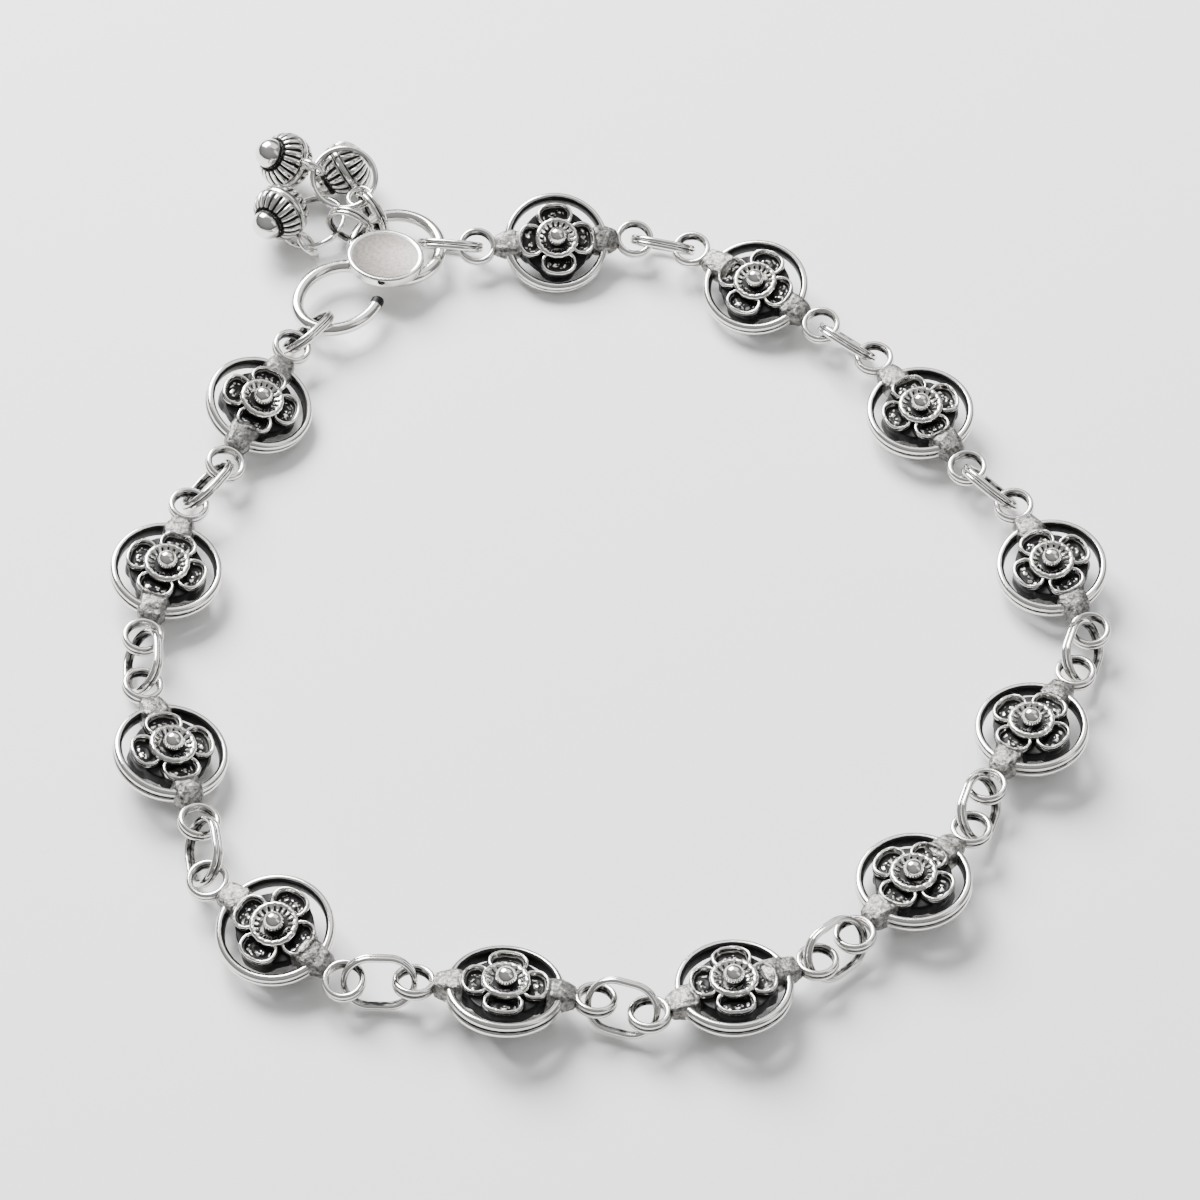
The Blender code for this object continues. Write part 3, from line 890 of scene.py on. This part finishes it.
# Share of the groove between two ribs, and of the grooves beside the band and round the ball
def bellGrooves(place):
    reach, height = math.hypot(place.x, place.y), abs(place.z)
    turn = math.atan2(place.y, place.x) / math.tau * bells["ribs"]
    between = rises("rib", abs(turn - round(turn)) * 2)
    between *= smoothstep(bells["band"] + 0.12, bells["band"] + 0.24, height)
    between *= 1 - smoothstep(bells["half"] * 0.84, bells["half"] * 0.92, height)
    beside = falls("beside", abs(height - bells["band"] - 0.06))
    return between * rises("ribStart", reach), beside * rises("besideStart", reach)


# Round body spun about its own axis, ribbed on both sides of a plain band, with a smooth ball set
# in one end, and an eye at its side
def bellMesh(turn):
    half, radius, ball = bells["half"], bells["radius"], bells["ball"]
    outline = [(0, -half), (0.5, -half), (1.0, -half + 0.03), (1.3, -half + 0.14)]
    turns = [math.radians(-60 + 120 * k / 32) for k in range(33)]
    outline += [(radius * math.cos(t) ** 0.8, half * math.sin(t) * 1.02) for t in turns]
    outline += [(1.6, half - 0.28), (ball + 0.02, half - 0.36)]
    outline += arcPoints(0, bells["ballHeight"], ball, -8, 84, 12)
    outline += [(0, bells["ballHeight"] + ball)]
    bm = bmesh.new()
    corners = [bm.verts.new((x, 0, z)) for x, z in outline]
    edges = [bm.edges.new(pair) for pair in zip(corners, corners[1:])]
    spinRound(bm, corners + edges, bells["ribs"] * 8)
    for corner in bm.verts:
        reach = math.hypot(corner.co.x, corner.co.y)
        if reach < 1.3:
            continue
        between, beside = bellGrooves(corner.co)
        cut = max(bells["ribDepth"] * between, bells["besideDepth"] * beside)
        corner.co.x *= 1 - cut / reach
        corner.co.y *= 1 - cut / reach
    tilt = Matrix.Rotation(math.radians(turn - 90), 3, "X")
    centre = Vector((bells["eye"] + radius - bells["sink"], 0, 0))
    bmesh.ops.rotate(bm, verts=bm.verts, matrix=tilt)
    bmesh.ops.translate(bm, verts=bm.verts, vec=centre)
    body = toMesh(bm, "body")
    bm = bmesh.new()
    addWireRing(bm, bells["eye"], bells["eyeWire"], bells["eyeWire"], bells["eyeSteps"])
    foot = bmesh.ops.create_icosphere(bm, subdivisions=3, radius=bells["foot"])["verts"]
    bmesh.ops.scale(bm, verts=foot, vec=(0.7, 1, 0.8))
    bmesh.ops.translate(bm, verts=foot, vec=(bells["eye"] + 0.1, 0, 0))
    mesh = joined([body, toMesh(bm, "eye")], "bell")
    back = tilt.inverted()

    def rule(place):
        spot = back @ (place - centre)
        between, beside = bellGrooves(spot)
        reach = math.hypot(spot.x, spot.y)
        ring = rises("ring", reach) * falls("ringEnd", reach) * rises("ringBase", spot.z)
        flat = falls("flatEnd", reach) * rises("flatBase", -spot.z)
        return max(between, beside, ring, flat * 0.8) * falls("bodyEnd", reach)

    oxideAndShade(mesh, "bell", rule)
    return mesh


def makeCharms(ringSilver, bellSilver, clasp):
    shapes = {
        "ring": ("pairedRing", ringMesh(rings, rings["height"])),
        "hoop": ("plainHoop", ringMesh(hoops, hoops["wire"])),
    }
    for spec, kind in ((rings, "ring"), (hoops, "hoop")):
        rule = wireOxideAndShade(0, spec["radius"], spec["wire"], kind == "ring")
        oxideAndShade(shapes[kind][1], "wires", rule)
    places = charmPlaces(clasp)
    for row in charms:
        name, number = row["name"], row["name"][-1]
        if row["kind"] == "bell":
            bell = bellMesh(row["turn"])
            placed(f"ribbedBell_{number}", bell, places[name], bellSilver, "bell_silver", name)
        else:
            title, shape = shapes[row["kind"]]
            placed(f"{title}_{number}", shape.copy(), places[name], ringSilver, "link_silver", name)
    say("rings, hoops and bells")


# Studio

view = {
    "elevation": 53, "horizon": 4.7, "distance": 0.350, "lens": 118,
    "aim": (-0.0010, -0.0030, 0.0026),
}
table = {"half": 2, "colour": 0.92, "rough": 0.7, "specular": 0.2}

# Grey of the sky at three heights, from the horizon up
sky = {"start": (0.0, 0.08), "middle": (0.35, 0.28), "top": (0.9, 0.42)}
lights = [
    {"name": "keyLight", "place": (-0.32, 0.42, 0.46), "size": (0.42, 0.42), "power": 19},
    {"name": "backLight", "place": (0.10, 0.40, 0.60), "size": (0.9, 0.6), "power": 2.2},
    {"name": "fillLight", "place": (0.50, -0.15, 0.40), "size": (0.22, 0.5), "power": 0.4},
]


def makeCamera():
    camera = bpy.data.objects.new("camera", bpy.data.cameras.new("camera"))
    bpy.context.collection.objects.link(camera)
    tilt = math.radians(view["elevation"])
    back = Vector((0, -math.cos(tilt), math.sin(tilt)))
    turn = Matrix.Rotation(math.pi / 2 - tilt, 4, "X")
    turn = turn @ Matrix.Rotation(math.radians(view["horizon"]), 4, "Z")
    place = Matrix.Translation(Vector(view["aim"]) + back * view["distance"])
    camera.matrix_world = place @ turn
    camera.data.lens = view["lens"]
    camera.data.clip_start = 0.01
    bpy.context.scene.camera = camera


def addLight(name, place, size, power):
    light = bpy.data.lights.new(name, "AREA")
    light.shape = "RECTANGLE"
    light.size, light.size_y = size
    light.energy = power
    lamp = bpy.data.objects.new(name, light)
    bpy.context.collection.objects.link(lamp)
    lamp.location = place
    lamp.rotation_euler = (-Vector(place)).to_track_quat("-Z", "Y").to_euler()


def makeTable():
    bm = bmesh.new()
    bmesh.ops.create_grid(bm, x_segments=1, y_segments=1, size=table["half"])
    floor = bpy.data.objects.new("table", toMesh(bm, "table"))
    bpy.context.collection.objects.link(floor)
    material = bpy.data.materials.new("paleTable")
    material.use_nodes = True
    shader = material.node_tree.nodes["Principled BSDF"]
    shader.inputs["Base Color"].default_value = grey(table["colour"])
    shader.inputs["Roughness"].default_value = table["rough"]
    shader.inputs["Specular IOR Level"].default_value = table["specular"]
    floor.data.materials.append(material)


def makeSky():
    world = bpy.context.scene.world or bpy.data.worlds.new("studio")
    bpy.context.scene.world = world
    world.use_nodes = True
    tree = world.node_tree
    background = tree.nodes["Background"]
    split = tree.nodes.new("ShaderNodeSeparateXYZ")
    tree.links.new(tree.nodes.new("ShaderNodeTexCoord").outputs["Generated"], split.inputs[0])
    ramp = tree.nodes.new("ShaderNodeValToRGB")
    tree.links.new(split.outputs["Z"], ramp.inputs["Fac"])
    stops = ramp.color_ramp.elements
    for stop, (height, share) in zip(stops, (sky["start"], sky["top"])):
        stop.position = height
        stop.color = grey(share)
    height, share = sky["middle"]
    stops.new(height).color = grey(share)
    tree.links.new(ramp.outputs["Color"], background.inputs["Color"])
    background.inputs["Strength"].default_value = 1.0


makeCamera()
discSilver = silver("oxidisedSilver")
linkSilver = silver("polishedSilver", finishes["wirePolish"])
hookSilver = silver("hookSilver", finishes["wirePolish"], "satin", finishes["satinGrain"])
bellSilver = silver("bellSilver")
ends = makeDiscs(discSilver)
clasp, claspHeading = hookPlace(ends[-1][1], ends[0][0])
makeHook(hookSilver, clasp, claspHeading)
makeOvals(linkSilver, ends, clasp)
makeCharms(linkSilver, bellSilver, clasp)
makeTable()
makeSky()
for row in lights:
    addLight(**row)
